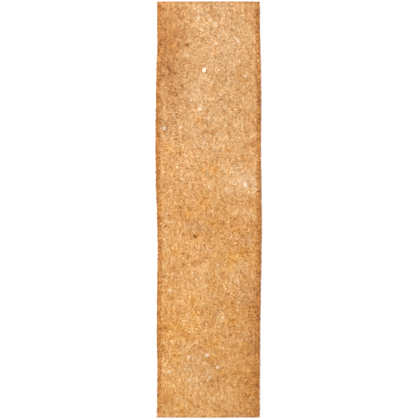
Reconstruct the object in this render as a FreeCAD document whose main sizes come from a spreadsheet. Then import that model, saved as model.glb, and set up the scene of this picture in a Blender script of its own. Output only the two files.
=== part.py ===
import FreeCAD, Part
import math
import os
import Sketcher

# A cut length of wired-edge glitter ribbon, lying face up, in millimetres.
# X runs across the ribbon, Y along it and Z up. The origin is the centre of the
# rectangle it covers, on the surface it lies on.
# Each long edge is a three-thread overlock round a soft wire: a needle thread in a line of
# short stitches, an upper looper thread over the hem and a lower looper thread under it.

Vector = FreeCAD.Vector
doc = FreeCAD.newDocument("glitter_ribbon")

SIZES = (
    ("ribbon_width", 40.0, "over the outer turns of both overlocked edges"),
    ("ribbon_length", 160.5, "from cut end to cut end"),
    ("cloth_thickness", 0.25, "woven cloth between the hems"),
    ("hem_thickness", 0.19, "cloth pressed flat by the stitches"),
    ("hem_width", 1.66, "from the edge to the inner side of the overlock"),
    ("film_thickness", 0.05, "adhesive under the glitter"),
    ("glitter_thickness", 0.10, "packed fine flakes"),
    ("large_flake_width", 1.2, "across the corners of a pale flake"),
    ("copper_flake_width", 0.9, "across the corners of a dark flake"),
    ("flake_thickness", 0.05, "of either kind of flake"),
    ("wire_diameter", 0.40, "soft wire in each edge"),
    ("wire_clearance", 0.02, "between the wire and what is round it"),
    ("looper_thread_diameter", 0.20, "upper and lower looper threads"),
    ("needle_thread_diameter", 0.16, "needle thread"),
    ("thread_gap", 0.02, "between a thread and what it passes"),
    ("stitch_pitch", 1.66, "one stitch along the edge"),
)

# Places worked out from the sizes. A name ending in _x is a distance from the ribbon's middle
# line, and one ending in _z is a height above or below the middle of the cloth.
PLACES = (
    ("half_width", "Sizes.ribbon_width / 2"),
    ("half_length", "Sizes.ribbon_length / 2"),
    ("looper_radius", "Sizes.looper_thread_diameter / 2"),
    ("needle_radius", "Sizes.needle_thread_diameter / 2"),
    ("wire_radius", "Sizes.wire_diameter / 2"),
    ("outer_turn_x", "half_width - looper_radius"),
    ("wire_x", "outer_turn_x - looper_radius - Sizes.wire_clearance - wire_radius"),
    ("raw_edge_x", "wire_x - wire_radius - Sizes.wire_clearance"),
    ("inner_turn_x", "half_width - Sizes.hem_width + looper_radius"),
    ("panel_x", "half_width - Sizes.hem_width - Sizes.thread_gap"),
    ("needle_x", "inner_turn_x + looper_radius + Sizes.thread_gap + needle_radius"),
    ("leg_x", "needle_x + needle_radius + Sizes.thread_gap"),
    ("inner_turn_z", "Sizes.hem_thickness / 2 + Sizes.thread_gap + looper_radius"),
    ("over_wire_z", "wire_radius + Sizes.wire_clearance + looper_radius + Sizes.thread_gap"),
    ("leg_slope", "(over_wire_z - inner_turn_z) / (wire_x - leg_x)"),
    ("outer_turn_z", "inner_turn_z + leg_slope * (outer_turn_x - leg_x)"),
    ("needle_run_z", "inner_turn_z + looper_radius + Sizes.thread_gap + needle_radius"),
    ("seat", "max(needle_run_z + needle_radius; outer_turn_z + looper_radius * (1 + leg_slope))"),
    ("film_z", "Sizes.cloth_thickness / 2"),
    ("glitter_z", "film_z + Sizes.film_thickness"),
    ("flake_z", "glitter_z + Sizes.glitter_thickness"),
)

# Where the separate flakes lie: shares of the half width and half length, and a turn in degrees.
LARGE_FLAKES = (
    (-0.09, 0.67, 10),
    (0.69, 0.12, 35),
    (-0.03, -0.70, 0),
    (-0.17, 0.48, 20),
    (-0.84, 0.39, 50),
    (0.18, -0.76, 15),
    (-0.38, -0.71, 40),
    (-0.77, -0.78, 5),
    (-0.75, -0.39, 30),
    (0.03, 0.91, 25),
    (-0.38, -0.82, 55),
    (-0.19, 0.92, 45),
    (0.01, 0.44, 5),
    (0.28, -0.52, 20),
    (0.57, 0.81, 50),
    (0.70, 0.64, 10),
)
COPPER_FLAKES = (
    (-0.28, -0.13, 15),
    (-0.42, 0.79, 40),
)


def make_sheet():
    """Write the driving dimensions, each with its alias and what it measures."""
    sheet = doc.addObject("Spreadsheet::Sheet", "Sizes")
    for row, (alias, size, meaning) in enumerate(SIZES, 1):
        sheet.set(f"A{row}", meaning)
        sheet.set(f"B{row}", str(size))
        sheet.setAlias(f"B{row}", alias)
    doc.recompute()
    return sheet


def make_places():
    """Hold the worked-out places as properties that follow the sheet."""
    holder = doc.addObject("App::VarSet", "Places")
    for name, formula in PLACES:
        holder.addProperty("App::PropertyFloat", name)
        holder.setExpression(name, formula)
    doc.recompute()
    return holder


sizes = make_sheet()
places = make_places()


# Layers: flat sheets made by padding a rectangle that is centred on the ribbon.


def new_body(label, height="Places.seat"):
    """A body whose own XY plane lies at the given height."""
    body = doc.addObject("PartDesign::Body", label)
    body.Label = label
    body.setExpression("Placement.Base.z", height)
    return body


def plane_of(body, role):
    """The body's own origin plane of that role."""
    return next(item for item in body.Origin.OriginFeatures if item.Role == role)


def centred_rectangle(body, name, half_x, half_y):
    """A rectangle round the body's origin, its half sides bound to the given formulas."""
    sketch = body.newObject("Sketcher::SketchObject", name)
    sketch.AttachmentSupport = [(plane_of(body, "XY_Plane"), "")]
    sketch.MapMode = "FlatFace"
    corners = [Vector(-2, -3, 0), Vector(2, -3, 0), Vector(2, 3, 0), Vector(-2, 3, 0)]
    for start, end in zip(corners, corners[1:] + corners[:1]):
        sketch.addGeometry(Part.LineSegment(start, end), False)
    for side in range(4):
        sketch.addConstraint(Sketcher.Constraint("Coincident", side, 2, (side + 1) % 4, 1))
    sketch.addConstraint(Sketcher.Constraint("Horizontal", 0))
    sketch.addConstraint(Sketcher.Constraint("Vertical", 1))
    sketch.addConstraint(Sketcher.Constraint("Horizontal", 2))
    sketch.addConstraint(Sketcher.Constraint("Vertical", 3))
    sketch.addConstraint(Sketcher.Constraint("Symmetric", 0, 1, 1, 2, -1, 1))
    across = sketch.addConstraint(Sketcher.Constraint("DistanceX", -1, 1, 1, 2, 2.0))
    along = sketch.addConstraint(Sketcher.Constraint("DistanceY", -1, 1, 1, 2, 3.0))
    sketch.setExpression(f"Constraints[{across}]", half_x)
    sketch.setExpression(f"Constraints[{along}]", half_y)
    return sketch


def pad(body, name, sketch, thickness, both_ways=False):
    """Pad a sketch by a bound thickness, upwards or to both sides of its plane."""
    feature = body.newObject("PartDesign::Pad", name)
    feature.Profile = sketch
    if both_ways:
        feature.SideType = "Symmetric"
    feature.setExpression("Length", thickness)
    return feature


def make_cloth():
    """The woven strip: a panel with a thinner hem along each side, up to the raw edges."""
    body = new_body("base_cloth")
    panel = centred_rectangle(body, "panel_outline", "Places.panel_x", "Places.half_length")
    pad(body, "panel", panel, "Sizes.cloth_thickness", both_ways=True)
    hems = centred_rectangle(body, "hem_outline", "Places.raw_edge_x", "Places.half_length")
    pad(body, "hems", hems, "Sizes.hem_thickness", both_ways=True)
    return body


def make_layer(label, underside, thickness):
    """A film over the panel, from the height of its underside up."""
    body = new_body(label, f"Places.seat + {underside}")
    outline = centred_rectangle(body, f"{label}_outline", "Places.panel_x", "Places.half_length")
    pad(body, f"{label}_sheet", outline, thickness)
    return body


def make_flakes(label, spots, width):
    """Separate six-sided flakes lying on the glitter, as one group."""
    flakes = []
    for number, (across, along, turn) in enumerate(spots, 1):
        flake = doc.addObject("Part::Prism", f"{label}_{number}")
        flake.Polygon = 6
        flake.setExpression("Circumradius", f"{width} / 2")
        flake.setExpression("Height", "Sizes.flake_thickness")
        flake.Placement = FreeCAD.Placement(Vector(0, 0, 0), FreeCAD.Rotation(turn, 0, 0))
        flake.setExpression("Placement.Base.x", f"Places.half_width * {across}")
        flake.setExpression("Placement.Base.y", f"Places.half_length * {along}")
        flake.setExpression("Placement.Base.z", "Places.seat + Places.flake_z")
        flakes.append(flake)
    group = doc.addObject("Part::Compound", label)
    group.Label = label
    group.Links = flakes
    return group


# Edges: the wire and the three threads of the overlock, the same on both sides.


def make_wire(label, side):
    """The soft wire between the cloth's raw edge and the outer turns of the threads."""
    body = new_body(label)
    sketch = body.newObject("Sketcher::SketchObject", f"{label}_section")
    sketch.AttachmentSupport = [(plane_of(body, "XZ_Plane"), "")]
    sketch.MapMode = "FlatFace"
    centre = Vector(side * places.wire_x, 0, 0)
    sketch.addGeometry(Part.Circle(centre, Vector(0, 0, 1), places.wire_radius), False)
    sketch.addConstraint(Sketcher.Constraint("PointOnObject", 0, 3, -1))
    radius = sketch.addConstraint(Sketcher.Constraint("Radius", 0, places.wire_radius))
    sketch.setExpression(f"Constraints[{radius}]", "Places.wire_radius")
    ends = (-1, 1, 0, 3) if side > 0 else (0, 3, -1, 1)
    offset = sketch.addConstraint(Sketcher.Constraint("DistanceX", *ends, places.wire_x))
    sketch.setExpression(f"Constraints[{offset}]", "Places.wire_x")
    pad(body, f"{label}_length", sketch, "Sizes.ribbon_length", both_ways=True)
    return body


def sweep_thread(label, points, diameter):
    """A round thread pulled tight from point to point, mitred where it turns."""
    route = doc.addObject("Part::Feature", f"{label}_route")
    route.Shape = Part.makePolygon(points)
    section = doc.addObject("Part::Circle", f"{label}_section")
    section.setExpression("Radius", f"{diameter} / 2")
    towards = FreeCAD.Rotation(Vector(0, 0, 1), points[1] - points[0])
    section.Placement = FreeCAD.Placement(points[0], towards)
    thread = doc.addObject("Part::Sweep", label)
    thread.Label = label
    thread.Sections = [section]
    thread.Spine = (route, [f"Edge{number}" for number in range(1, len(points))])
    thread.Solid = True
    thread.Transition = "Right corner"
    return thread


STITCHES = int(sizes.ribbon_length / sizes.stitch_pitch - 0.5)  # whole stitches, clear of the cuts
FIRST_STITCH_Y = -STITCHES * sizes.stitch_pitch / 2
WRAP_HALF_SHARE = 1 / 8  # half the width of a turn round the wire, as a share of the pitch
WRAP_REACH_SHARE = 3 / 4  # how far a turn passes the wire's middle, as a share of its radius


def looper_route(side, face):
    """A looper thread's zigzag: in round the needle line, out and round the wire, and back.

    face is 1 over the hem and -1 under it. The two loopers are half a stitch apart.
    """
    pitch = sizes.stitch_pitch
    turn_half = places.looper_radius + sizes.thread_gap
    wrap_half = pitch * WRAP_HALF_SHARE
    wrap_reach = places.wire_radius * WRAP_REACH_SHARE
    first_turn = FIRST_STITCH_Y + pitch * (0.25 if face > 0 else 0.75)

    def place(x, y, z):
        return Vector(side * x, y, places.seat + face * z)

    outer = places.outer_turn_x
    top = places.outer_turn_z
    level = places.inner_turn_z
    points = [place(outer, first_turn - pitch / 2 + wrap_half, top)]
    for stitch in range(STITCHES):
        turn_y = first_turn + stitch * pitch
        points.append(place(places.leg_x, turn_y - turn_half, level))
        points.append(place(places.inner_turn_x, turn_y - turn_half, level))
        points.append(place(places.inner_turn_x, turn_y + turn_half, level))
        points.append(place(places.leg_x, turn_y + turn_half, level))
        wrap_y = turn_y + pitch / 2
        points.append(place(outer, wrap_y - wrap_half, top))
        if stitch < STITCHES - 1:
            points.append(place(outer, wrap_y - wrap_half, -wrap_reach))
            points.append(place(outer, wrap_y + wrap_half, -wrap_reach))
            points.append(place(outer, wrap_y + wrap_half, top))
    return points


def needle_route(side):
    """The needle thread: a run over each upper looper turn and one under each lower turn."""
    run = sizes.stitch_pitch / 2
    over = places.seat + places.needle_run_z
    under = places.seat - places.needle_run_z
    x = side * places.needle_x
    y = FIRST_STITCH_Y
    points = [Vector(x, y, under)]
    for stitch in range(STITCHES):
        points.append(Vector(x, y, over))
        points.append(Vector(x, y + run, over))
        points.append(Vector(x, y + run, under))
        points.append(Vector(x, y + 2 * run, under))
        y += 2 * run
    points.append(Vector(x, y, over))
    return points


def make_edge(name, side):
    """The wire and threads of one long edge."""
    looper = "Sizes.looper_thread_diameter"
    return [
        make_wire(f"{name}_edge_wire", side),
        sweep_thread(f"{name}_needle_thread", needle_route(side), "Sizes.needle_thread_diameter"),
        sweep_thread(f"{name}_upper_looper_thread", looper_route(side, 1), looper),
        sweep_thread(f"{name}_lower_looper_thread", looper_route(side, -1), looper),
    ]


def check(parts):
    """Stop if any object failed or any sub-part has no valid shape."""
    for item in doc.Objects:
        if {"Invalid", "Error"} & set(item.State):
            raise RuntimeError(f"{item.Label} failed: {item.State}")
    for part in parts:
        if part.Shape.isNull() or not part.Shape.isValid():
            raise RuntimeError(f"{part.Label} has no valid shape")
        for solid in part.Shape.Solids:
            if solid.Volume <= 0:
                raise RuntimeError(f"{part.Label} is inside out")


def check_threads(parts):
    """Stop if a thread's volume isn't its section times its length."""
    for part in parts:
        if part.TypeId == "Part::Sweep":
            radius = part.Sections[0].Radius.Value
            expected = math.pi * radius**2 * part.Spine[0].Shape.Length
            if abs(part.Shape.Volume - expected) > 0.001 * expected:
                raise RuntimeError(f"{part.Label} holds {part.Shape.Volume}, not {expected}")


def main():
    """Build every sub-part, check it and write its file."""
    parts = [
        make_cloth(),
        make_layer("adhesive_film", "Places.film_z", "Sizes.film_thickness"),
        make_layer("glitter_layer", "Places.glitter_z", "Sizes.glitter_thickness"),
        make_flakes("large_flakes", LARGE_FLAKES, "Sizes.large_flake_width"),
        make_flakes("copper_flakes", COPPER_FLAKES, "Sizes.copper_flake_width"),
    ]
    parts += make_edge("left", -1)
    parts += make_edge("right", 1)
    doc.recompute()
    check(parts)
    check_threads(parts)
    os.makedirs("parts", exist_ok=True)
    for part in parts:
        part.Shape.exportStep(f"parts/{part.Label}.step")
        box = part.Shape.BoundBox
        print(f"{part.Label}: {len(part.Shape.Solids)} solids, {part.Shape.Volume:.3f} mm3,",
              f"z {box.ZMin:.3f} to {box.ZMax:.3f}")


main()
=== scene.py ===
import logging
import math
from dataclasses import dataclass, field
from enum import Enum
from typing import Iterable, Sequence, Union

import bpy
import numpy as np
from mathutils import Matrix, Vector


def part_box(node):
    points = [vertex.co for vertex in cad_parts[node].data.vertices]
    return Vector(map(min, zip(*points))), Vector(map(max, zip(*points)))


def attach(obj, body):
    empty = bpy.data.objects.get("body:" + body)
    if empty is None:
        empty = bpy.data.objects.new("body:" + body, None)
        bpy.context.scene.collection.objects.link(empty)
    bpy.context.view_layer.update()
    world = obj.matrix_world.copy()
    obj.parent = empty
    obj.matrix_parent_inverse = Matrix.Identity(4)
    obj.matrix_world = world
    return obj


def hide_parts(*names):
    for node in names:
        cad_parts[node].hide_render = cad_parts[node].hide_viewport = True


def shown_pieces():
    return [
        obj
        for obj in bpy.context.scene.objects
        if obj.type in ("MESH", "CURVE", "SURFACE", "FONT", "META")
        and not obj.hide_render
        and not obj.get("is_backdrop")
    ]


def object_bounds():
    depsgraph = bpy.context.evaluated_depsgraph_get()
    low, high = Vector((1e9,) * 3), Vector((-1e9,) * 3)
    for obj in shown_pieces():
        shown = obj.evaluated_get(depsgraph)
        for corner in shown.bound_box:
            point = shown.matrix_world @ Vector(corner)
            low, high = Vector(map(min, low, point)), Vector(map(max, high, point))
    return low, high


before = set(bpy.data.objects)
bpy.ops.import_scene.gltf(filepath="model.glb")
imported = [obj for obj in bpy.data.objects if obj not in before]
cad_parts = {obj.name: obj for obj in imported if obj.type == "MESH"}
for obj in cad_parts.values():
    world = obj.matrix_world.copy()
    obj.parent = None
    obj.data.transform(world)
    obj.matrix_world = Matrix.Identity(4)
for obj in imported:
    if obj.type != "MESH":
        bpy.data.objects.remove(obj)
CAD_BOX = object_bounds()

# A cut length of wired-edge glitter ribbon, lying face up on a pale floor.
#
# X runs across the ribbon, Y along it and Z up, in metres. The cloth, the glitter, the overlocked
# edges and the wires are built here around the construction model and follow one shared lay: how
# far each edge wanders and how much the cloth between the wires lifts off the floor.

MM = 0.001
HEM_HALF = 0.095 * MM  # half the thickness of the cloth where the stitches press it
LOG = logging.getLogger("glitter_ribbon")
Colour = tuple[float, float, float]
Stops = tuple[tuple[float, Colour], ...]
Socket = bpy.types.NodeSocket
Feed = Union[Socket, float, Sequence[float]]


class Choice(Enum):
    """A choice that the nodes spell in lower case."""

    @property
    def word(self) -> str:
        """The choice's name in lower case."""
        return self.name.lower()


class Side(Choice):
    """A long edge of the ribbon, with the sign of its X."""

    LEFT = -1
    RIGHT = 1


class Face(Choice):
    """The side of the hem that a looper thread covers, with the sign of its height."""

    UPPER = 1
    LOWER = -1


# ---- Finishes ----


def hue(red: int, green: int, blue: int) -> Colour:
    """A colour given as 0 to 255 values, as the linear values a shader takes."""
    shares = [value / 255 for value in (red, green, blue)]
    return tuple(v / 12.92 if v <= 0.04045 else ((v + 0.055) / 1.055) ** 2.4 for v in shares)


class NodeBench:
    """The node tree of a material or a world, with short ways to add and join nodes."""

    def __init__(
        self, owner: Union[bpy.types.Material, bpy.types.World], shader: str = "Principled BSDF",
    ) -> None:
        """Open a new owner's tree, which holds an output and one shader.

        Args:
            owner: The material or the world.
            shader: The name of its shader node.
        """
        owner.use_nodes = True
        self.tree = owner.node_tree
        self.shader = self.tree.nodes[shader]

    def feed(self, source: Feed, target: Socket) -> None:
        """Join a socket to an input, or set the input to a plain value.

        Args:
            source: The socket or the value.
            target: The input.
        """
        if isinstance(source, bpy.types.NodeSocket):
            self.tree.links.new(source, target)
        else:
            target.default_value = source

    def add(self, kind: str, *inputs: Feed, **values: object) -> bpy.types.Node:
        """Add a node and feed its inputs.

        Args:
            kind: The node's type, without its first word, ShaderNode.
            inputs: What its first inputs take, in order.
            values: Properties of the node, or inputs by name, with spaces written as underscores.

        Returns:
            The new node.
        """
        node = self.tree.nodes.new(f"ShaderNode{kind}")
        for key, value in values.items():
            if hasattr(node, key):
                setattr(node, key, value)
            else:
                self.feed(value, node.inputs[key.replace("_", " ")])
        for source, target in zip(inputs, node.inputs):
            self.feed(source, target)
        return node

    def finish(self, **values: Feed) -> None:
        """Feed the shader's own sockets, with spaces written as underscores."""
        for key, value in values.items():
            self.feed(value, self.shader.inputs[key.replace("_", " ")])

    def math(self, operation: str, *inputs: Feed, clamp: bool = False) -> Socket:
        """The result of one step of arithmetic."""
        return self.add("Math", *inputs, operation=operation, use_clamp=clamp).outputs["Value"]

    def vector(self, operation: str, *inputs: Feed, **values: float) -> Socket:
        """The result of one step of vector arithmetic."""
        return self.add("VectorMath", *inputs, operation=operation, **values).outputs["Vector"]

    def rescale(self, value: Socket, **limits: float) -> Socket:
        """A value moved from one range to another, each of them 0 to 1 unless given."""
        return self.add("MapRange", value, **limits).outputs["Result"]

    def attribute(self, name: str) -> Socket:
        """A value that the mesh holds for each of its points."""
        return self.add("Attribute", attribute_name=name).outputs["Fac"]

    def object_place(self) -> Socket:
        """The place on the piece, in metres."""
        return self.add("TexCoord").outputs["Object"]

    def noise(self, place: Socket, scale: float, detail: float = 2.0, roughness: float = 0.5) -> Socket:
        """Soft clouds, from 0 to 1."""
        node = self.add("TexNoise", place, Scale=scale, Detail=detail, Roughness=roughness)
        return node.outputs["Fac"]

    def blend(self, share: Socket, first: Socket, second: Socket) -> Socket:
        """Blend two colours.

        Args:
            share: How much of the second one shows, from 0 to 1.
            first: The first colour.
            second: The second colour.

        Returns:
            The colour between them.
        """
        node = self.add("Mix", share, data_type="RGBA")
        for source, number in ((first, 6), (second, 7)):  # the node's two colour inputs
            self.feed(source, node.inputs[number])
        return node.outputs[2]

    def ramp(self, value: Socket, stops: Stops) -> Socket:
        """A colour read off a row of stops.

        Args:
            value: The value from 0 to 1 that picks the colour.
            stops: Each stop's position and colour.

        Returns:
            The colour.
        """
        node = self.add("ValToRGB", value)
        elements = node.color_ramp.elements
        while len(elements) < len(stops):
            elements.new(1.0)
        for element, (position, colour) in zip(elements, stops):
            element.position = position
            element.color = (*colour, 1.0)
        return node.outputs["Color"]

    def bump(self, height: Socket, depth: float, strength: float) -> None:
        """Roughen the shader's surface by a height from 0 to 1, so many metres deep and so strongly."""
        node = self.add("Bump", Strength=strength, Distance=depth, Height=height)
        self.finish(Normal=node.outputs["Normal"])


@dataclass(frozen=True)
class Finish:
    """A finish, which joins its own nodes to a material's shader."""

    name: str

    def material(self) -> bpy.types.Material:
        """Build the finish.

        Returns:
            The material.
        """
        material = bpy.data.materials.new(self.name)
        self.join_nodes(NodeBench(material))
        return material

    def join_nodes(self, bench: NodeBench) -> None:
        """Join the finish's nodes on the material's bench."""


GOLD_COOL: Stops = (
    (0.00, hue(139, 82, 31)),
    (0.30, hue(189, 133, 74)),
    (0.50, hue(205, 160, 108)),
    (0.75, hue(224, 187, 147)),
    (1.00, hue(242, 222, 192)),
)
GOLD_WARM: Stops = (
    (0.00, hue(141, 71, 5)),
    (0.30, hue(196, 124, 32)),
    (0.50, hue(213, 149, 62)),
    (0.75, hue(230, 175, 98)),
    (1.00, hue(247, 214, 155)),
)


@dataclass(frozen=True)
class GlitterFinish(Finish):
    """Metallic film flakes, each of its own shade between copper and pale gold.

    The shade is read from the attribute "shade" and its warmth from "warmth", both 0 to 1.
    """

    metallic: float
    roughness: float

    def shade(self, bench: NodeBench) -> Socket:
        """The shade of a flake."""
        return bench.attribute("shade")

    def join_nodes(self, bench: NodeBench) -> None:
        """Colour the surface by its shade and its warmth.

        Args:
            bench: The material's bench.
        """
        shade = self.shade(bench)
        cool, warm = bench.ramp(shade, GOLD_COOL), bench.ramp(shade, GOLD_WARM)
        colour = bench.blend(bench.attribute("warmth"), cool, warm)
        bench.finish(Base_Color=colour, Metallic=self.metallic, Roughness=self.roughness)


@dataclass(frozen=True)
class BedFinish(GlitterFinish):
    """Fine glitter dust set in clear binder, between and under the flakes."""

    grain: float = 0.34 * MM
    spread: float = 0.27
    lean: float = 0.5

    def shade(self, bench: NodeBench) -> Socket:
        """Break the surface into grains, each turned its own way, and give each its shade.

        Args:
            bench: The material's bench.

        Returns:
            The shade: the place's own, and a random part that the attribute "life" weakens.
        """
        chance = bench.add("TexVoronoi", bench.object_place(), Scale=1 / self.grain).outputs["Color"]
        self.lean_grains(bench, chance)
        level = bench.add("SeparateColor", chance).outputs["Red"]
        change = bench.rescale(level, To_Min=-self.spread, To_Max=self.spread)
        life = bench.attribute("life")
        return bench.math("MULTIPLY_ADD", change, life, bench.attribute("shade"), clamp=True)

    def lean_grains(self, bench: NodeBench, chance: Socket) -> None:
        """Turn each grain's face its own way.

        Args:
            bench: The material's bench.
            chance: The random colour of each grain.
        """
        centred = bench.vector("SUBTRACT", chance, (0.5, 0.5, 0.5))
        weaker = bench.vector("SCALE", centred, Scale=self.lean)
        turned = bench.vector("ADD", bench.add("NewGeometry").outputs["Normal"], weaker)
        bench.finish(Normal=bench.vector("NORMALIZE", turned))


@dataclass(frozen=True)
class ClothFinish(Finish):
    """Plain-woven polyester: threads over and under, with a slight change of shade."""

    warp: Colour
    weft: Colour
    pitch: float
    slub: float = 0.35
    slub_scale: float = 1800.0
    drawn_out: float = 0.2
    relief: float = 0.05 * MM
    roughness: float = 0.62
    sheen: float = 0.3

    def join_nodes(self, bench: NodeBench) -> None:
        """Weave the threads and colour them.

        Args:
            bench: The material's bench.
        """
        split = bench.add("SeparateXYZ", bench.object_place())
        across, along = (
            bench.math("SINE", bench.math("MULTIPLY", split.outputs[axis], math.pi / self.pitch))
            for axis in ("X", "Y")
        )
        weave = bench.rescale(bench.math("MULTIPLY", across, along), From_Min=-1.0)
        drawn = bench.add("Mapping", bench.object_place(), Scale=(1, self.drawn_out, 1)).outputs["Vector"]
        slub = bench.noise(drawn, self.slub_scale)
        shade = bench.math("MULTIPLY_ADD", slub, self.slub, weave)
        bench.bump(weave, self.relief, 0.8)
        bench.finish(
            Base_Color=bench.ramp(shade, ((0.1, self.warp), (0.9, self.weft))),
            Roughness=self.roughness, Sheen_Weight=self.sheen, Sheen_Roughness=0.4,
        )


@dataclass(frozen=True)
class YarnFinish(Finish):
    """Textured sewing yarn: fine filaments along a soft, slightly glossy twist."""

    dark: Colour
    middle: Colour
    light: Colour
    filaments: float = 14.0
    run: float = 1.5 * MM
    blotch: float = 1.8 * MM
    fibre_share: float = 0.4
    relief: float = 0.03 * MM
    roughness: float = 0.6
    sheen: float = 0.08

    def join_nodes(self, bench: NodeBench) -> None:
        """Lay the filaments along the yarn and dye it unevenly.

        Args:
            bench: The material's bench.
        """
        along = bench.add("UVMap", uv_map="UVMap").outputs["UV"]
        drawn = bench.add("Mapping", along, Scale=(self.filaments, 1 / self.run, 1.0)).outputs["Vector"]
        fibre = bench.noise(drawn, 1.0, detail=3.0, roughness=0.6)
        dye = bench.noise(bench.object_place(), 1 / self.blotch)
        rest = bench.math("MULTIPLY", dye, 1 - self.fibre_share)
        shade = bench.math("MULTIPLY_ADD", fibre, self.fibre_share, rest)
        stops = ((0.36, self.dark), (0.5, self.middle), (0.64, self.light))
        bench.bump(fibre, self.relief, 0.8)
        bench.finish(
            Base_Color=bench.ramp(shade, stops), Roughness=self.roughness,
            Sheen_Weight=self.sheen, Sheen_Roughness=0.35, Specular_IOR_Level=0.3,
        )


@dataclass(frozen=True)
class FilmFinish(Finish):
    """Glossy film or lacquer with a faint cloudiness: binder, copper flake, wire."""

    low: Colour
    high: Colour
    metallic: float
    roughness: float
    coat: float = 0.0
    cloud: float = 2.0 * MM
    relief: float = 0.01 * MM

    def join_nodes(self, bench: NodeBench) -> None:
        """Cloud the film's colour and its gloss.

        Args:
            bench: The material's bench.
        """
        cloud = bench.noise(bench.object_place(), 1 / self.cloud)
        rough = bench.rescale(cloud, To_Min=self.roughness * 0.7, To_Max=self.roughness * 1.3)
        colour = bench.ramp(cloud, ((0.35, self.low), (0.65, self.high)))
        bench.bump(cloud, self.relief, 0.4)
        bench.finish(Base_Color=colour, Roughness=rough, Metallic=self.metallic, Coat_Weight=self.coat)


@dataclass(frozen=True)
class PearlFinish(Finish):
    """Pearl film that runs from dull to pale gold to nearly white by the attribute "whiteness", which also
    holds a painted shade, lighter on one side of each flake.
    """

    dull: Colour
    gold: Colour
    pale: Colour
    white: Colour
    cloud: float = 0.5 * MM
    cloud_share: float = 0.6
    relief: float = 0.01 * MM
    roughness: float = 0.4

    def join_nodes(self, bench: NodeBench) -> None:
        """Colour the film by its whiteness and its clouds.

        Args:
            bench: The material's bench.
        """
        cloud = bench.noise(bench.object_place(), 1 / self.cloud)
        whiteness = bench.attribute("whiteness")
        total = bench.math("MULTIPLY_ADD", cloud, self.cloud_share, whiteness, clamp=True)
        stops = ((0.02, self.dull), (0.1, self.gold), (0.45, self.pale), (1.0, self.white))
        bench.bump(cloud, self.relief, 0.4)
        bench.finish(
            Base_Color=bench.ramp(total, stops), Metallic=0.1, Roughness=self.roughness, Coat_Weight=0.25,
        )


@dataclass(frozen=True)
class FloorFinish(Finish):
    """A matt floor, white to the eye, that keeps the object's shadow and brightens far away."""

    grey: float = 0.8
    near: float = 0.3
    far: float = 1.2
    near_glow: float = 0.30
    far_glow: float = 0.50

    def join_nodes(self, bench: NodeBench) -> None:
        """Let the floor glow where it is seen, by eye, in gloss or through glass.

        Args:
            bench: The material's bench.
        """
        rays = bench.add("LightPath").outputs
        seen = bench.math("MAXIMUM", rays["Is Camera Ray"], rays["Is Glossy Ray"])
        seen = bench.math("MAXIMUM", seen, rays["Is Transmission Ray"])
        away = bench.add("VectorMath", bench.object_place(), operation="LENGTH").outputs["Value"]
        glow = bench.rescale(
            away, From_Min=self.near, From_Max=self.far, To_Min=self.near_glow, To_Max=self.far_glow,
        )
        bench.finish(
            Base_Color=(self.grey, self.grey, self.grey, 1), Roughness=1.0, Specular_IOR_Level=0.0,
            Emission_Color=(1, 1, 1, 1), Emission_Strength=bench.math("MULTIPLY", seen, glow),
        )


FLAKE_FINISH = GlitterFinish("glitter_flake", 0.36, 0.52)
BED_FINISH = BedFinish("glitter_bed", 0.34, 0.45)
CLOTH_FINISH = ClothFinish("woven_cloth", hue(176, 107, 42), hue(218, 147, 74), 0.16 * MM)
LOOPER_FINISHES = {  # the right edge's yarn is darker: painted shade, that side lying in less light
    Side.LEFT: YarnFinish("left_looper_yarn", hue(152, 82, 16), hue(219, 147, 63), hue(248, 197, 117)),
    Side.RIGHT: YarnFinish("right_looper_yarn", hue(134, 72, 14), hue(199, 131, 51), hue(238, 182, 102)),
}
NEEDLE_FINISH = YarnFinish("needle_yarn", hue(150, 84, 24), hue(214, 140, 64), hue(248, 192, 114))
FIBRE_FINISH = YarnFinish("loose_fibre", hue(96, 58, 30), hue(124, 80, 46), hue(150, 104, 66))
BINDER_FINISH = FilmFinish("clear_binder", hue(176, 112, 56), hue(194, 130, 72), 0.0, 0.25, 0.6)
PEARL_FINISH = PearlFinish(
    "pearl_film", hue(205, 177, 149), hue(228, 180, 122), hue(232, 203, 176), hue(255, 247, 232),
)
COPPER_FINISH = FilmFinish("copper_film", hue(126, 70, 10), hue(154, 92, 26), 0.3, 0.45, 0.1)
WIRE_FINISH = FilmFinish("lacquered_wire", hue(160, 98, 36), hue(196, 128, 56), 0.7, 0.35)
FLOOR_FINISH = FloorFinish("studio_floor")


# ---- Shared shape: how the ribbon lies, and how its glitter covers it ----


@dataclass(frozen=True)
class Wander:
    """How far an edge strays sideways, from a few stations along it, in millimetres."""

    stations: tuple[float, ...]
    offsets: tuple[float, ...]

    def at(self, along: np.ndarray) -> np.ndarray:
        """The sideways offset, eased from station to station.

        Args:
            along: Places along the ribbon, in metres.

        Returns:
            The offsets, in metres.
        """
        place = np.asarray(along, float) / MM
        index = np.clip(np.searchsorted(self.stations, place) - 1, 0, len(self.stations) - 2)
        stations, offsets = np.asarray(self.stations), np.asarray(self.offsets)
        share = (place - stations[index]) / (stations[index + 1] - stations[index])
        share = np.clip(share, 0, 1)
        eased = share * share * (3 - 2 * share)
        return (offsets[index] + (offsets[index + 1] - offsets[index]) * eased) * MM


@dataclass(frozen=True)
class Patch:
    """A soft round patch on the ribbon: its centre and reach in millimetres, and its strength."""

    across: float
    along: float
    reach_x: float
    reach_y: float
    strength: float

    def at(self, x: np.ndarray, y: np.ndarray) -> np.ndarray:
        """The patch's strength at some places.

        Args:
            x: Distances across, in metres.
            y: Distances along, in metres.

        Returns:
            The strengths.
        """
        off_x = (x / MM - self.across) / self.reach_x
        off_y = (y / MM - self.along) / self.reach_y
        return self.strength * np.exp(-(off_x**2) - off_y**2)


def total_of(patches: Iterable[Patch], x: np.ndarray, y: np.ndarray) -> np.ndarray:
    """The patches' strengths added up at places given in metres."""
    return sum((patch.at(x, y) for patch in patches), np.zeros_like(x, dtype=float))


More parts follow.
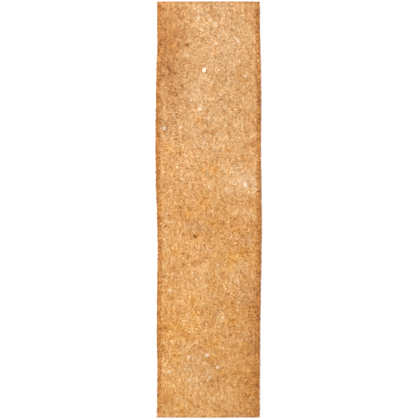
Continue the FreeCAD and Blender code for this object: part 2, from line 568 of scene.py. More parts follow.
@dataclass(frozen=True)
class Lay:
    """How the ribbon lies: both edges wander a little, and the cloth lifts between the wires.

    Places are given as on the straight, flat ribbon and come back as they lie.
    """

    half_width: float
    panel_half: float
    left: Wander = Wander(
        (-81, -70, -62, -48, -36, -14, 0, 10, 24, 46, 56, 64, 71, 81),
        (0, 0, 0.12, -0.16, -0.05, 0.22, -0.10, -0.48, -0.62, -0.42, -0.18, 0.10, 0, 0),
    )
    right: Wander = Wander(
        (-81, -70, -57, -46, -34, -20, -6, 8, 24, 42, 54, 64, 71, 81),
        (-0.42, -0.42, -0.34, -0.27, -0.07, 0.16, 0.38, 0.20, 0.03, 0.14, 0.02, -0.24, -0.42, -0.42),
    )
    lifts: tuple[Patch, ...] = (
        Patch(2, 58, 14, 20, 0.55),
        Patch(-3, 14, 15, 18, 0.40),
        Patch(-2, -44, 15, 30, 0.85),
    )

    def place(self, x: np.ndarray, y: np.ndarray, z: Union[np.ndarray, float]) -> np.ndarray:
        """Move places from the flat ribbon to where they lie.

        Args:
            x: Distances across, from the middle line.
            y: Distances along, from the middle.
            z: Heights above the floor, or one height for all.

        Returns:
            The places, one row each.
        """
        x, y, z = (np.asarray(v, float) for v in (x, y, z))
        share = np.clip(x / self.half_width, -1.1, 1.1)
        shift = self.left.at(y) * (1 - share) / 2 + self.right.at(y) * (1 + share) / 2
        inward = np.clip(1 - (x / self.panel_half) ** 2, 0, 1)
        lift = total_of(self.lifts, x, y) * MM * inward**1.5
        return np.stack([x + shift, y, z + lift], axis=-1)


def mottles(seed: int, count: int, reach: float, strength: float) -> tuple[Patch, ...]:
    """Small soft patches strewn over the ribbon, half of them up and half down.

    Args:
        seed: The seed of their places.
        count: How many.
        reach: Their mean reach in millimetres.
        strength: Their mean strength.

    Returns:
        The patches.
    """
    random = np.random.default_rng(seed)
    return tuple(
        Patch(
            random.uniform(-20, 20), random.uniform(-81, 81), reach * random.uniform(0.6, 1.4),
            reach * random.uniform(0.6, 1.4), strength * random.normal(),
        )
        for _ in range(count)
    )


@dataclass(frozen=True)
class Ripple:
    """A faint unevenness all over: many weak waves in all directions, longer along the ribbon."""

    seed: int
    reach_x: float
    reach_y: float
    strength: float
    waves: int = 90

    def at(self, x: np.ndarray, y: np.ndarray) -> np.ndarray:
        """The unevenness at places given in metres.

        Args:
            x: Distances across.
            y: Distances along.

        Returns:
            The unevenness, as a change of shade.
        """
        random = np.random.default_rng(self.seed)
        total = np.zeros_like(x, dtype=float)
        for _ in range(self.waves):
            turn_x = random.normal() / self.reach_x
            turn_y = random.normal() / self.reach_y
            total += np.cos(turn_x * x / MM + turn_y * y / MM + random.uniform(0, math.tau))
        return self.strength * math.sqrt(2 / self.waves) * total


@dataclass(frozen=True)
class Cover:
    """How thick and how warm the glitter lies, with painted shade: a base shade with soft patches of
    change.
    """

    half_width: float
    half_length: float
    base: float = 0.486
    warm_base: float = 0.56
    # The shade patches are partly thicker and thinner glitter, partly painted shade: darker and lighter
    # places where the lying ribbon turns from and towards the light.
    shades: tuple[Patch, ...] = (
        Patch(-15, 60, 9, 25, -0.22),  # the dark band down the left of the head end
        Patch(4, 68, 6, 9, 0.06),
        Patch(16, 76, 9, 12, -0.08),
        Patch(-5, 50, 4, 12, 0.08),
        Patch(12, 46, 10, 16, -0.05),
        Patch(5, 32, 7, 7, -0.04),
        Patch(13, 10, 7, 6, 0.18),  # the light spot right of the middle
        Patch(2, -8, 15, 9, -0.06),
        Patch(-14, -12, 7, 8, 0.07),
        Patch(-10, -32, 10, 7, 0.06),
        Patch(-19, -46, 5, 7, 0.05),
        Patch(-12, -68, 13, 18, 0.09),
        Patch(-6, -66, 5, 6, 0.09),
        Patch(20, -70, 10, 24, -0.21),  # the dark corner at the right of the tail end
        Patch(20, -26, 7, 14, -0.07),
    )
    warmths: tuple[Patch, ...] = (
        Patch(-2, 54, 30, 40, -0.50),  # the pale, cool head end
        Patch(2, 74, 8, 16, -0.60),
        Patch(-8, 48, 7, 10, -0.20),
        Patch(-20, 32, 6, 6, -0.30),
        Patch(14, 11, 7, 6, -0.32),  # the light spot is cool too
        Patch(-14, -46, 9, 7, 0.30),
        Patch(-18, -69, 6, 5, 0.30),
        Patch(-2, -62, 7, 7, -0.15),
        Patch(16, -34, 7, 7, -0.20),
    )
    small: tuple[Patch, ...] = mottles(5, 700, 1.3, 0.055) + mottles(6, 70, 5.0, 0.035)
    ripple: Ripple = Ripple(12, 0.42, 0.60, 0.056)
    tints: tuple[Patch, ...] = mottles(8, 500, 1.6, 0.16)
    calms: tuple[Patch, ...] = (Patch(-16, 66, 7, 16, 0.55), Patch(14, -66, 10, 14, 0.20))
    rim: float = 0.07
    end_rim: float = 3.4
    rim_reach: float = 0.8 * MM
    end_reach: float = 0.3 * MM

    def shade(self, x: np.ndarray, y: np.ndarray) -> np.ndarray:
        """The glitter's mean shade, darker along the rim and most of all at the cut ends.

        Args:
            x: Distances across, in metres.
            y: Distances along, in metres.

        Returns:
            The shades.
        """
        from_side = np.clip((self.half_width - np.abs(x)) / self.rim_reach, 0, 9)
        from_end = np.clip((self.half_length - np.abs(y)) / self.end_reach, 0, 9)
        rim = self.rim * (np.exp(-from_side) + self.end_rim * np.exp(-from_end))
        return self.base + total_of(self.shades + self.small, x, y) + self.ripple.at(x, y) - rim

    def life(self, x: np.ndarray, y: np.ndarray) -> np.ndarray:
        """How far shades stray from flake to flake, as a share, lower where the cover is smooth."""
        return 1 - total_of(self.calms, x, y)

    def warmth(self, x: np.ndarray, y: np.ndarray) -> np.ndarray:
        """The glitter's warmth at places given in metres, from 0 to 1."""
        return np.clip(self.warm_base + total_of(self.warmths + self.tints, x, y), 0, 1)


# ---- Ways of making meshes ----


def deselect() -> None:
    """Leave object mode with nothing selected."""
    if bpy.context.object and bpy.context.object.mode != "OBJECT":
        bpy.ops.object.mode_set(mode="OBJECT")
    bpy.ops.object.select_all(action="DESELECT")


def activate(piece: bpy.types.Object) -> None:
    """Select one object alone and make it the active one.

    Args:
        piece: The object.
    """
    deselect()
    piece.select_set(True)
    bpy.context.view_layer.objects.active = piece


def link_object(name: str, data: bpy.types.ID) -> bpy.types.Object:
    """Put a mesh, a curve, a light or a camera into the scene.

    Args:
        name: The object's name.
        data: What it shows.

    Returns:
        The object.
    """
    made = bpy.data.objects.new(name, data)
    bpy.context.scene.collection.objects.link(made)
    return made


def hand_over(
    piece: bpy.types.Object, material: bpy.types.Material, node: str = "", body: str = "ribbon",
) -> bpy.types.Object:
    """Dress a finished piece, and tell the frame what it stands for and what it rides on.

    Args:
        piece: The piece.
        material: Its material, all over.
        node: The node that it stands for, if there is one.
        body: The body that it rides on.

    Returns:
        The piece.
    """
    piece.data.materials.clear()
    piece.data.materials.append(material)
    if node:
        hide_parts(node)
    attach(piece, body)
    return piece


def mesh_piece(name: str, points: np.ndarray, faces: np.ndarray) -> bpy.types.Object:
    """Make a piece from points and faces that all have as many corners.

    Args:
        name: The piece's name.
        points: One row for each point.
        faces: One row of point numbers for each face.

    Returns:
        The piece.
    """
    mesh = bpy.data.meshes.new(name)
    mesh.from_pydata(points.tolist(), [], faces.tolist())
    mesh.update()
    return link_object(name, mesh)


def set_values(piece: bpy.types.Object, name: str, values: np.ndarray) -> None:
    """Store one value for each point of a piece."""
    layer = piece.data.attributes.new(name, "FLOAT", "POINT")
    layer.data.foreach_set("value", np.asarray(values, np.float32))


def set_map(piece: bpy.types.Object, places: np.ndarray) -> None:
    """Store each face corner's place on the piece's map, as shares from 0 to 1."""
    layer = piece.data.uv_layers.new(name="OFBake")
    layer.data.foreach_set("uv", np.asarray(places, np.float32).ravel())


def points_of(piece: bpy.types.Object) -> np.ndarray:
    """The places of a piece's points, one row each."""
    return np.array([vertex.co for vertex in piece.data.vertices])


def turns(axis: np.ndarray, angle: np.ndarray) -> np.ndarray:
    """Turning matrices, one for each axis of length one and its angle.

    Args:
        axis: The axes, one row each.
        angle: The angles in radians.

    Returns:
        The matrices.
    """
    x, y, z = axis.T
    none = np.zeros_like(x)
    cross = np.array([[none, -z, y], [z, none, -x], [-y, x, none]]).transpose(2, 0, 1)
    sine, cosine = (part(angle)[:, None, None] for part in (np.sin, np.cos))
    return np.eye(3) + sine * cross + (1 - cosine) * (cross @ cross)


def even(low: float, high: float, step: float) -> np.ndarray:
    """Evenly spaced values from low to high, about a step apart."""
    return np.linspace(low, high, max(2, round((high - low) / step) + 1))


@dataclass
class SheetGrid:
    """A closed sheet: two grids of points, one over the other, joined round the rim."""

    columns: np.ndarray
    rows: np.ndarray

    @classmethod
    def over(cls, low: Vector, high: Vector, cell: float) -> "SheetGrid":
        """An even grid over a box, with cells of about one size."""
        return cls(even(low.x, high.x, cell), even(low.y, high.y, cell))

    def across_along(self) -> tuple[np.ndarray, np.ndarray]:
        """The grid's places across and along, flattened row by row."""
        along, across = np.meshgrid(self.rows, self.columns, indexing="ij")
        return across.ravel(), along.ravel()

    def faces(self) -> np.ndarray:
        """The four-sided faces of the closed sheet, its upper grid's points coming first.

        Returns:
            One row of point numbers for each face.
        """
        wide, deep = len(self.columns), len(self.rows)
        number = np.arange(wide * deep).reshape(deep, wide)
        low = number + wide * deep
        quads = [number[:-1, :-1], number[:-1, 1:], number[1:, 1:], number[1:, :-1]]
        top = np.stack([q.ravel() for q in quads], axis=1)
        bottom = top[:, ::-1] + wide * deep
        rims = [
            np.stack([upper[:-1], upper[1:], lower[1:], lower[:-1]], axis=1)
            for upper, lower in (
                (number[0, ::-1], low[0, ::-1]),
                (number[-1, :], low[-1, :]),
                (number[:, 0], low[:, 0]),
                (number[::-1, -1], low[::-1, -1]),
            )
        ]
        return np.concatenate([top, bottom, *rims])

    def build(self, name: str, upper: np.ndarray, lower: np.ndarray) -> bpy.types.Object:
        """Make the sheet and lay it out on its map: its face in two long rows, its back in one.

        Args:
            name: The piece's name.
            upper: The upper points, one row each.
            lower: The lower points, one row each.

        Returns:
            The piece.
        """
        points, faces = np.concatenate([upper, lower]), self.faces()
        piece = mesh_piece(name, points, faces)
        low, high = points.min(axis=0), points.max(axis=0)
        across, along, _ = ((points - low) / (high - low))[faces].transpose(2, 0, 1)
        row = np.floor(along.mean(axis=1, keepdims=True) * 1.9999)
        on_face = (faces < len(upper)).all(axis=1, keepdims=True)
        u = 0.02 + 0.96 * np.where(on_face, along * 2 - row, along)
        v = np.where(on_face, 0.01 + 0.38 * across + 0.40 * row, 0.82 + 0.16 * across)
        set_map(piece, np.stack([u, v], axis=-1))
        return piece


# ---- The woven strip and its glitter ----


LOOSE_FIBRE_PATH = (  # across and along, in millimetres, from the left seam inwards
    (-19.4, 35.9), (-18.7, 35.3), (-17.6, 34.7), (-16.6, 33.8), (-15.9, 32.7), (-15.5, 31.3), (-15.6, 30.0),
)


@dataclass(frozen=True)
class Scattering:
    """A kind of flake: its size, how far it leans in radians, and how high over the bed it lies."""

    width: float
    thickness: float
    tilt: float
    rise: float


@dataclass
class Panel:
    """The cloth, the binder on it and the bed of fine glitter, with the flakes on top."""

    lay: Lay
    cover: Cover
    cloth_cell: float = 0.8 * MM
    cloth_half: float = 0.125 * MM
    hem_cell: float = 0.3 * MM
    hem_ramp: float = 0.12 * MM
    bed_cell: float = 0.40 * MM
    bed_shake: float = 0.3
    bed_relief: float = 0.035 * MM
    bed_dips: float = 1.6
    ragged: float = 0.25 * MM
    flake_layers: int = 4
    flakes_a_layer: int = 8000
    strays_a_side: int = 620
    flake: Scattering = Scattering(0.58 * MM, 0.02 * MM, tilt=0.17, rise=-0.03 * MM)
    stray: Scattering = Scattering(0.58 * MM, 0.02 * MM, tilt=0.30, rise=-0.12 * MM)
    stray_fall: tuple[float, float] = (1.5, 0.25)
    stray_reach: float = 1.3
    flake_sizes: tuple[float, float] = (0.7, 1.2)
    flake_curl: float = 0.025 * MM
    shade_spread: float = 0.144
    tint_spread: float = 0.11
    big_apart: float = 1.3 * MM
    big_thickness: float = 0.05 * MM
    big_tilt: float = 0.06
    big_rise: float = 0.09 * MM
    big_gain: float = 0.35
    big_oval: float = 0.18
    big_blunt: float = 0.10
    big_painted_shade: float = 0.24
    faint: float = -0.13
    bold_gain: float = 0.42
    dull: float = -0.45
    dull_flake: int = 4
    fibre_width: float = 0.11 * MM
    fibre_height: float = 0.24 * MM
    fibre_bob: float = 0.02 * MM
    pieces: list[bpy.types.Object] = field(default_factory=list)

    def __post_init__(self) -> None:
        """Read the layers' heights and outlines off the frame."""
        self.cloth_low, self.cloth_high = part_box("base_cloth")
        self.film_low, self.film_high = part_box("adhesive_film")
        self.glitter_low, self.glitter_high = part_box("glitter_layer")
        self.random = np.random.default_rng(41)

    def cloth(self) -> bpy.types.Object:
        """The woven strip: full thickness between the hems, pressed thinner under the stitches.

        Returns:
            The piece.
        """
        panel, raw = self.film_high.x, self.cloth_high.x
        inside = even(-panel, panel, self.cloth_cell)
        hem = even(panel + self.hem_ramp, raw, self.hem_cell)
        grid = SheetGrid(
            np.concatenate([-hem[::-1], inside, hem]),
            even(self.cloth_low.y, self.cloth_high.y, self.cloth_cell),
        )
        x, y = grid.across_along()
        middle = (self.cloth_low.z + self.cloth_high.z) / 2
        half = np.where(np.abs(x) > panel + self.hem_ramp / 2, HEM_HALF, self.cloth_half)
        upper, lower = self.lay.place(x, y, middle + half), self.lay.place(x, y, middle - half)
        piece = grid.build("woven_cloth", upper, lower)
        return hand_over(piece, CLOTH_FINISH.material(), "base_cloth")

    def binder(self) -> bpy.types.Object:
        """The thin film of clear binder over the cloth.

        Returns:
            The piece.
        """
        grid = SheetGrid.over(self.film_low, self.film_high, self.cloth_cell)
        x, y = grid.across_along()
        upper, lower = (self.lay.place(x, y, z) for z in (self.film_high.z, self.film_low.z))
        piece = grid.build("binder_film", upper, lower)
        return hand_over(piece, BINDER_FINISH.material(), "adhesive_film")

    def bed(self) -> bpy.types.Object:
        """The bed of fine glitter, its top broken into small tilted facets.

        Returns:
            The piece.
        """
        grid = SheetGrid.over(self.glitter_low, self.glitter_high, self.bed_cell)
        x, y = grid.across_along()
        brink = np.abs(x) > self.glitter_high.x - 1e-6
        rim = brink | (np.abs(y) > self.glitter_high.y - 1e-6)
        strayed = self.random.uniform(-self.bed_shake, self.bed_shake, (2, len(x))) * self.bed_cell * ~rim
        strayed[0] -= np.sign(x) * self.random.uniform(0, self.ragged, len(x)) * brink
        top = self.glitter_high.z - self.bed_relief * self.random.uniform(0, self.bed_dips, len(x))
        upper = self.lay.place(x + strayed[0], y + strayed[1], top)
        piece = grid.build("glitter_bed", upper, self.lay.place(x, y, self.glitter_low.z))
        cover = self.cover
        for name, values in (("shade", cover.shade), ("warmth", cover.warmth), ("life", cover.life)):
            set_values(piece, name, np.tile(values(x, y), 2))
        return hand_over(piece, BED_FINISH.material(), "glitter_layer")

    def flake_shape(self, width: float, thickness: float) -> tuple[np.ndarray, np.ndarray]:
        """Model one six-sided flake, two of its corners curled up, and read its shape.

        Args:
            width: Across its corners.
            thickness: From face to face.

        Returns:
            Its points round its own centre, and its faces as triangles.
        """
        deselect()
        bpy.ops.mesh.primitive_cylinder_add(vertices=6, radius=width / 2, depth=thickness)
        flake = bpy.context.object
        bpy.ops.object.mode_set(mode="EDIT")
        bpy.ops.mesh.select_mode(type="VERT")
        bpy.ops.mesh.select_all(action="SELECT")
        bpy.ops.mesh.quads_convert_to_tris()
        bpy.ops.mesh.select_all(action="DESELECT")
        bpy.ops.object.mode_set(mode="OBJECT")
        for vertex in flake.data.vertices:
            vertex.select = abs(vertex.co.x) < width / 8
        bpy.ops.object.mode_set(mode="EDIT")
        bpy.ops.transform.translate(value=(0, 0, self.flake_curl))
        bpy.ops.object.mode_set(mode="OBJECT")
        points, faces = points_of(flake), np.array([p.vertices[:] for p in flake.data.polygons])
        bpy.data.objects.remove(flake, do_unlink=True)
        return points, faces

    def scatter(
        self, name: str, x: np.ndarray, y: np.ndarray, kind: Scattering, sizes: np.ndarray,
    ) -> bpy.types.Object:
        """Lay copies of one flake on the bed, each turned and tilted its own way.

        Args:
            name: The piece's name.
            x: Each flake's place across.
            y: Each flake's place along.
            kind: The flake. Its tilt is the lean's standard deviation.
            sizes: Each flake's size, as a share of its kind's width.

        Returns:
            The piece, one mesh of separate flakes.
        """
        points, faces = self.flake_shape(kind.width, kind.thickness)
        count, corners = len(x), len(points)
        turn = self.random.uniform(0, math.tau, count)
        lean = np.clip(np.abs(self.random.normal(0, kind.tilt, count)), 0, 3 * kind.tilt)
        heading = self.random.uniform(0, math.tau, count)
        spin = turns(np.tile((0.0, 0.0, 1.0), (count, 1)), turn)
        bend = turns(np.stack([np.cos(heading), np.sin(heading), np.zeros(count)], axis=1), lean)
        local = np.einsum("nij,njk,pk->npi", bend, spin, points) * sizes[:, None, None]
        base = self.lay.place(x, y, self.glitter_high.z)
        base[:, 2] += kind.width / 2 * sizes * np.sin(lean) + kind.rise
        numbers = faces[None] + corners * np.arange(count)[:, None, None]
        piece = mesh_piece(name, (local + base[:, None, :]).reshape(-1, 3), numbers.reshape(-1, 3))
        cells = math.ceil(math.sqrt(count))
        corner = np.stack([np.arange(count) % cells, np.arange(count) // cells], axis=1)
        within = 0.5 + 0.35 * points[faces.ravel(), :2] / (kind.width / 2)
        set_map(piece, (corner[:, None, :] + within[None]).reshape(-1, 2) / cells)
        return piece

    def strew(self, name: str, x: np.ndarray, y: np.ndarray, kind: Scattering) -> bpy.types.Object:
        """Strew fine flakes and give each its own shade and warmth.

        Args:
            name: The piece's name.
            x: Each flake's place across.
            y: Each flake's place along.
            kind: The flake.

        Returns:
            The piece.
        """
        count = len(x)
        piece = self.scatter(name, x, y, kind, self.random.uniform(*self.flake_sizes, count))
        corners = len(piece.data.vertices) // count
        change = self.random.normal(0, self.shade_spread, count) * self.cover.life(x, y)
        shade = self.cover.shade(x, y) + change
        warmth = self.cover.warmth(x, y) + self.random.normal(0, self.tint_spread, count)
        for attribute, values in (("shade", shade), ("warmth", warmth)):
            set_values(piece, attribute, np.repeat(np.clip(values, 0, 1), corners))
        return piece

    def flakes(self) -> list[bpy.types.Object]:
        """The fine flakes all over the bed, and the stray ones caught in both seams.

        Returns:
            The pieces.
        """
        reach_x = self.glitter_high.x - self.flake.width * 0.6
        reach_y = self.glitter_high.y - self.flake.width * 0.6
        layers = []
        for number in range(self.flake_layers):
            x = self.random.uniform(-reach_x, reach_x, self.flakes_a_layer)
            y = self.random.uniform(-reach_y, reach_y, self.flakes_a_layer)
            layers.append(self.strew(f"glitter_flakes_{number + 1}", x, y, self.flake))
        for side in Side:
            past = self.random.gamma(*self.stray_fall, self.strays_a_side)
            x = side.value * (self.glitter_high.x + np.minimum(past, self.stray_reach) * MM)
            y = self.random.uniform(-reach_y, reach_y, self.strays_a_side)
            layers.append(self.strew(f"{side.word}_stray_glitter", x, y, self.stray))
        material = FLAKE_FINISH.material()
        return [hand_over(piece, material) for piece in layers]

    def seats(self, node: str) -> tuple[np.ndarray, float]:
        """Where the separate flakes of a node lie.

        Args:
            node: The node.

        Returns:
            The flakes' middles, one row each, and the first flake's width.
        """
        points = points_of(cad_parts[node])
        middles: list[np.ndarray] = []
        for spot in points:
            if all(np.hypot(*(spot - middle)[:2]) > self.big_apart for middle in middles):
                near = np.hypot(*(points - spot)[:, :2].T) < self.big_apart
                middles.append(points[near].mean(axis=0))
        reach = np.hypot(*(points - middles[0])[:, :2].T)
        return np.array(middles), 2 * reach[reach < self.big_apart].max()

    def big_flakes(self, node: str, name: str, finish: Finish, least: float) -> bpy.types.Object:
        """The few bigger flakes of one kind, where the frame has them, the boldest first.

        Args:
            node: The node they stand for.
            name: The piece's name.
            finish: Their film.
            least: The size of the faintest, as a share of the frame's.

        Returns:
            The piece.
        """
        middles, width = self.seats(node)
        count = len(middles)
        standing = np.linspace(1, 0, count)
        kind = Scattering(width, self.big_thickness, self.big_tilt, self.big_rise)
        piece = self.scatter(name, *middles[:, :2].T, kind, least + self.big_gain * standing**4)
        points = points_of(piece).reshape(count, -1, 3)
        spread = points - points.mean(axis=1, keepdims=True)
        bearing = np.arctan2(spread[..., 1], spread[..., 0])
        oval, blunt = self.random.uniform(0, math.tau, (2, count, 1))
        uneven = self.big_oval * np.cos(2 * bearing - oval) + self.big_blunt * np.cos(3 * bearing - blunt)
        points[..., :2] += spread[..., :2] * uneven[..., None]
        piece.data.vertices.foreach_set("co", points.ravel())
        piece.data.update()
        whiteness = self.faint + self.bold_gain * standing**8
        whiteness[self.dull_flake :: count] = self.dull
        # Painted shade: each flake is whiter on one side and duller on the other, as if light fell unevenly
        # over its curl.
        sheen = self.big_painted_shade * np.cos(bearing - blunt)
        set_values(piece, "whiteness", (whiteness[:, None] + sheen).ravel())
        return hand_over(piece, finish.material(), node)

    def loose_fibre(self) -> bpy.types.Object:
        """A fine fibre that strays from the left seam and lies curved over the glitter.

        Returns:
            The piece.
        """
        x, y = np.array(LOOSE_FIBRE_PATH).T * MM
        bob = self.random.normal(0, self.fibre_bob, len(x))
        route = self.lay.place(x, y, self.glitter_high.z + self.fibre_height + bob)
        piece = Yarn("loose_fibre", self.fibre_width, plies=2).pull(route, steps=4)
        return hand_over(piece, FIBRE_FINISH.material())

    def build(self) -> None:
        """Make every layer of the panel, from the cloth up."""
        self.pieces = [
            self.cloth(), self.binder(), self.bed(), *self.flakes(),
            self.big_flakes("large_flakes", "pearl_flakes", PEARL_FINISH, 1.25),
            self.big_flakes("copper_flakes", "dark_copper_flakes", COPPER_FINISH, 1.35),
            self.loose_fibre(),
        ]


# ---- The overlocked edges ----


@dataclass
class Yarn:
    """A twisted sewing yarn pulled along a route of points."""

    name: str
    width: float
    turns_a_millimetre: float = 0.30
    plies: int = 3
    ply_depth: float = 0.26
    smooth_below: float = 60.0

    def section(self) -> bpy.types.Object:
        """Draw the yarn's outline, with one round bulge for each ply.

        Returns:
            A closed curve that the yarn is swept with.
        """
        corners = self.plies * 4
        curve = bpy.data.curves.new(f"{self.name}_section", "CURVE")
        spline = curve.splines.new("POLY")
        spline.points.add(corners - 1)
        for number, point in enumerate(spline.points):
            angle = math.tau * number / corners
            reach = self.width / 2 * (1 - self.ply_depth * (1 - math.cos(angle * self.plies)) / 2)
            point.co = (reach * math.cos(angle), reach * math.sin(angle), 0, 1)
        spline.use_cyclic_u = True
        return link_object(f"{self.name}_section", curve)

    def pull(self, route: np.ndarray, steps: int = 3) -> bpy.types.Object:
        """Pull the yarn along its route and keep it as a closed mesh.

        Args:
            route: The control points, as they lie.
            steps: How many steps the curve takes from point to point.

        Returns:
            The piece.
        """
        curve = bpy.data.curves.new(self.name, "CURVE")
        curve.dimensions = "3D"
        spline = curve.splines.new("NURBS")
        spline.points.add(len(route) - 1)
        lengths = np.linalg.norm(np.diff(route, axis=0), axis=1)
        run = np.concatenate([[0], np.cumsum(lengths)]) / MM
        for point, place, length in zip(spline.points, route, run):
            point.co = (*place, 1)
            point.tilt = math.tau * self.turns_a_millimetre * length
        spline.order_u = 3
        spline.use_endpoint_u = True
        spline.resolution_u = steps
        curve.bevel_mode = "OBJECT"
        section = self.section()
        curve.bevel_object = section
        curve.use_fill_caps = True
        piece = link_object(self.name, curve)
        activate(piece)
        bpy.ops.object.convert(target="MESH")
        bpy.ops.object.mode_set(mode="EDIT")
        bpy.ops.mesh.select_all(action="SELECT")
        bpy.ops.mesh.remove_doubles(threshold=1e-6)
        bpy.ops.mesh.normals_make_consistent(inside=False)
        bpy.ops.object.mode_set(mode="OBJECT")
        bpy.data.objects.remove(section, do_unlink=True)
        activate(piece)
        bpy.ops.object.shade_smooth_by_angle(angle=math.radians(self.smooth_below))
        return piece


@dataclass
class OverlockedEdge:
    """One long edge: the wire and the three threads sewn round it."""

    side: Side
    lay: Lay
    pitch: float = 1.66 * MM
    upper_width: float = 0.33 * MM
    lower_width: float = 0.27 * MM
    needle_width: float = 0.19 * MM
    turn: float = 0.15 * MM
    wrap: float = 0.26 * MM
    shoulder: float = 1.2
    tuck: float = 0.9
    seam: float = 0.16 * MM
    slack: float = 0.11 * MM
    flare: float = 0.0
    flare_reach: float = 1.2 * MM
    needle_over: float = 0.47 * MM
    needle_under: float = 0.385 * MM
    needle_bow: float = 1.04
    wire_step: float = 4 * MM
    cloth_gap: float = 0.01 * MM
    wire_gap: float = 0.015 * MM
    brim_gap: float = 0.02 * MM
    crossing: float = 0.10 * MM

    def __post_init__(self) -> None:
        """Read the seam's places off the frame."""
        word = self.side.word
        low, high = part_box(f"{word}_upper_looper_thread")
        needle_low, needle_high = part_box(f"{word}_needle_thread")
        wire_low, wire_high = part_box(f"{word}_edge_wire")
        self.inner = min(abs(low.x), abs(high.x))
        self.needle = abs(needle_low.x + needle_high.x) / 2
        self.wire = abs(wire_low.x + wire_high.x) / 2
        self.wire_radius = (wire_high.z - wire_low.z) / 2
        self.middle = (wire_low.z + wire_high.z) / 2
        self.half_length = wire_high.y
        self.stitches = round((needle_high.y - needle_low.y) / self.pitch)
        self.random = np.random.default_rng(7 + self.side.value)

    def lie(self, points: Sequence[tuple[float, float, float]]) -> np.ndarray:
        """Lay route points, given for the right edge from the cloth's middle plane."""
        x, y, z = np.array(points).T
        return self.lay.place(self.side.value * x, y, self.middle + z)

    def looper_width(self, face: Face) -> float:
        """How thick the looper yarn is that covers a face: the upper one is fuller."""
        return self.upper_width if face is Face.UPPER else self.lower_width

    def looper_route(self, face: Face) -> np.ndarray:
        """The zigzag of a looper thread: in round the needle line, out and round the wire.

        At both ends it runs on along the brim to the cut, on a flared edge a little outwards.

        Args:
            face: The side of the hem that it covers.

        Returns:
            The route's points as they lie.
        """
        up, turn, wrap = face.value, self.turn, self.wrap
        radius = self.looper_width(face) / 2
        first = -self.stitches * self.pitch / 2 + self.pitch * (0.25 if face is Face.UPPER else 0.75)
        level = up * (HEM_HALF + radius + self.cloth_gap)
        crest = up * (self.wire_radius + radius + self.wire_gap)
        shoulder, tucked = self.shoulder * wrap, self.tuck * crest
        brim = self.wire + self.wire_radius + radius + self.brim_gap
        seam, tail, back = self.needle + self.seam, brim + self.flare, -up * self.crossing
        points = [(tail, -self.half_length, crest / 2), (brim, first - self.pitch / 2 + wrap, crest)]
        for stitch in range(self.stitches):
            y = first + stitch * self.pitch + self.random.normal(0, self.slack)
            start = self.inner + radius + self.random.normal(0, self.slack) / 2
            points += [
                (seam, y - turn, level), (start, y - turn, level),
                (start, y + turn, level), (seam, y + turn, level),
            ]
            loose = self.flare * math.exp((abs(y) - self.half_length) / self.flare_reach)
            edge = brim + abs(self.random.normal(0, self.slack / 3)) + loose
            bend = y + self.pitch / 2
            points += [(self.wire, bend - shoulder, crest), (edge, bend - wrap, tucked)]
            if stitch < self.stitches - 1:
                points += [
                    (edge, bend - wrap, back), (edge, bend + wrap, back),
                    (edge, bend + wrap, tucked), (self.wire, bend + shoulder, crest),
                ]
        return self.lie([*points, (tail, self.half_length, crest / 2)])

    def needle_route(self) -> np.ndarray:
        """The needle thread: a run over each upper turn and one under each lower turn.

        Returns:
            The route's points as they lie.
        """
        x, run = self.needle, self.pitch / 2
        over, under, bow = self.needle_over, -self.needle_under, self.needle_bow
        points = []
        for stitch in range(self.stitches):
            y = (stitch - self.stitches / 2) * self.pitch
            points += [(x, y, under), (x, y, over), (x, y + run / 2, over * bow)]
            points += [(x, y + run, over), (x, y + run, under), (x, y + run * 1.5, under * bow)]
        return self.lie(points)

    def wire_piece(self) -> bpy.types.Object:
        """The soft wire, round and untwisted, following the edge.

        Returns:
            The piece.
        """
        word = self.side.word
        stations = even(-self.half_length, self.half_length, self.wire_step)
        wire = Yarn(f"{word}_wire", 2 * self.wire_radius, 0.0, plies=4, ply_depth=0.0, smooth_below=40.0)
        piece = wire.pull(self.lie([(self.wire, y, 0) for y in stations]))
        return hand_over(piece, WIRE_FINISH.material(), f"{word}_edge_wire", f"{word}_wire")

    def thread(self, name: str, route: np.ndarray, width: float, finish: YarnFinish) -> bpy.types.Object:
        """Make one thread in place of its node.

        Args:
            name: The kind of thread: needle, or upper or lower looper.
            route: The route's points as they lie.
            width: The yarn's width.
            finish: The yarn's finish.

        Returns:
            The piece.
        """
        whole = f"{self.side.word}_{name}"
        piece = Yarn(f"{whole}_yarn", width).pull(route)
        return hand_over(piece, finish.material(), f"{whole}_thread")

    def build(self) -> list[bpy.types.Object]:
        """Make the wire and the three threads.

        Returns:
            The threads, which are sewn to the cloth.
        """
        self.wire_piece()
        looper, needle = LOOPER_FINISHES[self.side], NEEDLE_FINISH
        return [
            *(
                self.thread(f"{face.word}_looper", self.looper_route(face), self.looper_width(face), looper)
                for face in Face
            ),
            self.thread("needle", self.needle_route(), self.needle_width, needle),
        ]


# ---- The studio ----


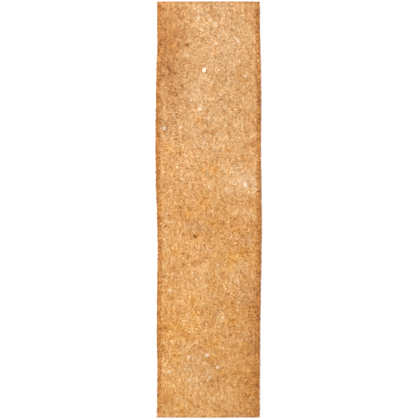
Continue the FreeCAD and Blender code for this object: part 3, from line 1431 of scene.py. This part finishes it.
@dataclass
class Studio:
    """A pale floor under soft light, with the camera straight above."""

    camera_height: float = 0.60
    view_width: float = 161.97 * MM
    view_centre: tuple[float, float] = (0.42 * MM, -0.23 * MM)
    floor_side: float = 3.0
    sky_low: float = 0.1
    sky_top: float = 0.45
    lamp_side: float = 0.45
    sensor: float = 36.0

    def floor(self) -> None:
        """The floor: white to the eye, with the object's shadow kept."""
        deselect()
        bpy.ops.mesh.primitive_plane_add(size=self.floor_side, location=(0, 0, 0))
        floor = bpy.context.object
        floor.name = "studio_floor"
        floor.data.materials.append(FLOOR_FINISH.material())
        floor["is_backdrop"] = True

    def sky(self) -> None:
        """Soft light from all round, dimmer straight above, seen as white behind the object."""
        world = bpy.data.worlds.new("studio_sky")
        bpy.context.scene.world = world
        bench = NodeBench(world, "Background")
        way = bench.add("SeparateXYZ", bench.add("TexCoord").outputs["Generated"])
        strength = bench.rescale(way.outputs["Z"], From_Min=self.sky_low, To_Min=1.0, To_Max=self.sky_top)
        bench.finish(Color=(1, 1, 1, 1), Strength=strength)

    def lamp(self, name: str, place: tuple[float, float, float], power: float) -> None:
        """Hang a square soft lamp, aimed at the ribbon's middle.

        Args:
            name: The lamp's name.
            place: Where it hangs.
            power: In watts.
        """
        light = bpy.data.lights.new(name, "AREA")
        light.size = self.lamp_side
        light.energy = power
        lamp = link_object(name, light)
        lamp.location = place
        lamp.rotation_euler = (-Vector(place)).to_track_quat("-Z", "Y").to_euler()

    def camera(self) -> None:
        """The camera, looking straight down with a long lens."""
        lens = bpy.data.cameras.new("camera")
        lens.sensor_width = self.sensor
        distance = self.camera_height - CAD_BOX[1][2]
        lens.lens = lens.sensor_width * distance / self.view_width
        lens.clip_start = 0.01
        camera = link_object("camera", lens)
        camera.location = (*self.view_centre, self.camera_height)
        bpy.context.scene.camera = camera

    def build(self) -> None:
        """Set up the floor, the light and the camera."""
        self.floor()
        self.sky()
        self.lamp("key_lamp", (-0.40, 0.40, 0.72), 6.2)
        self.lamp("fill_lamp", (0.55, -0.25, 0.65), 1.2)
        self.camera()
        bpy.context.scene.view_settings.view_transform = "Standard"


def main() -> None:
    """Build the studio, the panel and both edges, and say what was made."""
    logging.basicConfig(level=logging.INFO, format="%(message)s")
    Studio().build()
    lay = Lay(CAD_BOX[1][0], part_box("adhesive_film")[1].x)
    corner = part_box("glitter_layer")[1]
    panel = Panel(lay, Cover(corner.x, corner.y))
    panel.build()
    edges = [OverlockedEdge(Side.LEFT, lay, flare=0.35 * MM), OverlockedEdge(Side.RIGHT, lay)]
    sewn = [thread for edge in edges for thread in edge.build()]
    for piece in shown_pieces():
        LOG.info("%s: %d faces", piece.name, len(piece.data.polygons))


if __name__ == "__main__":
    main()
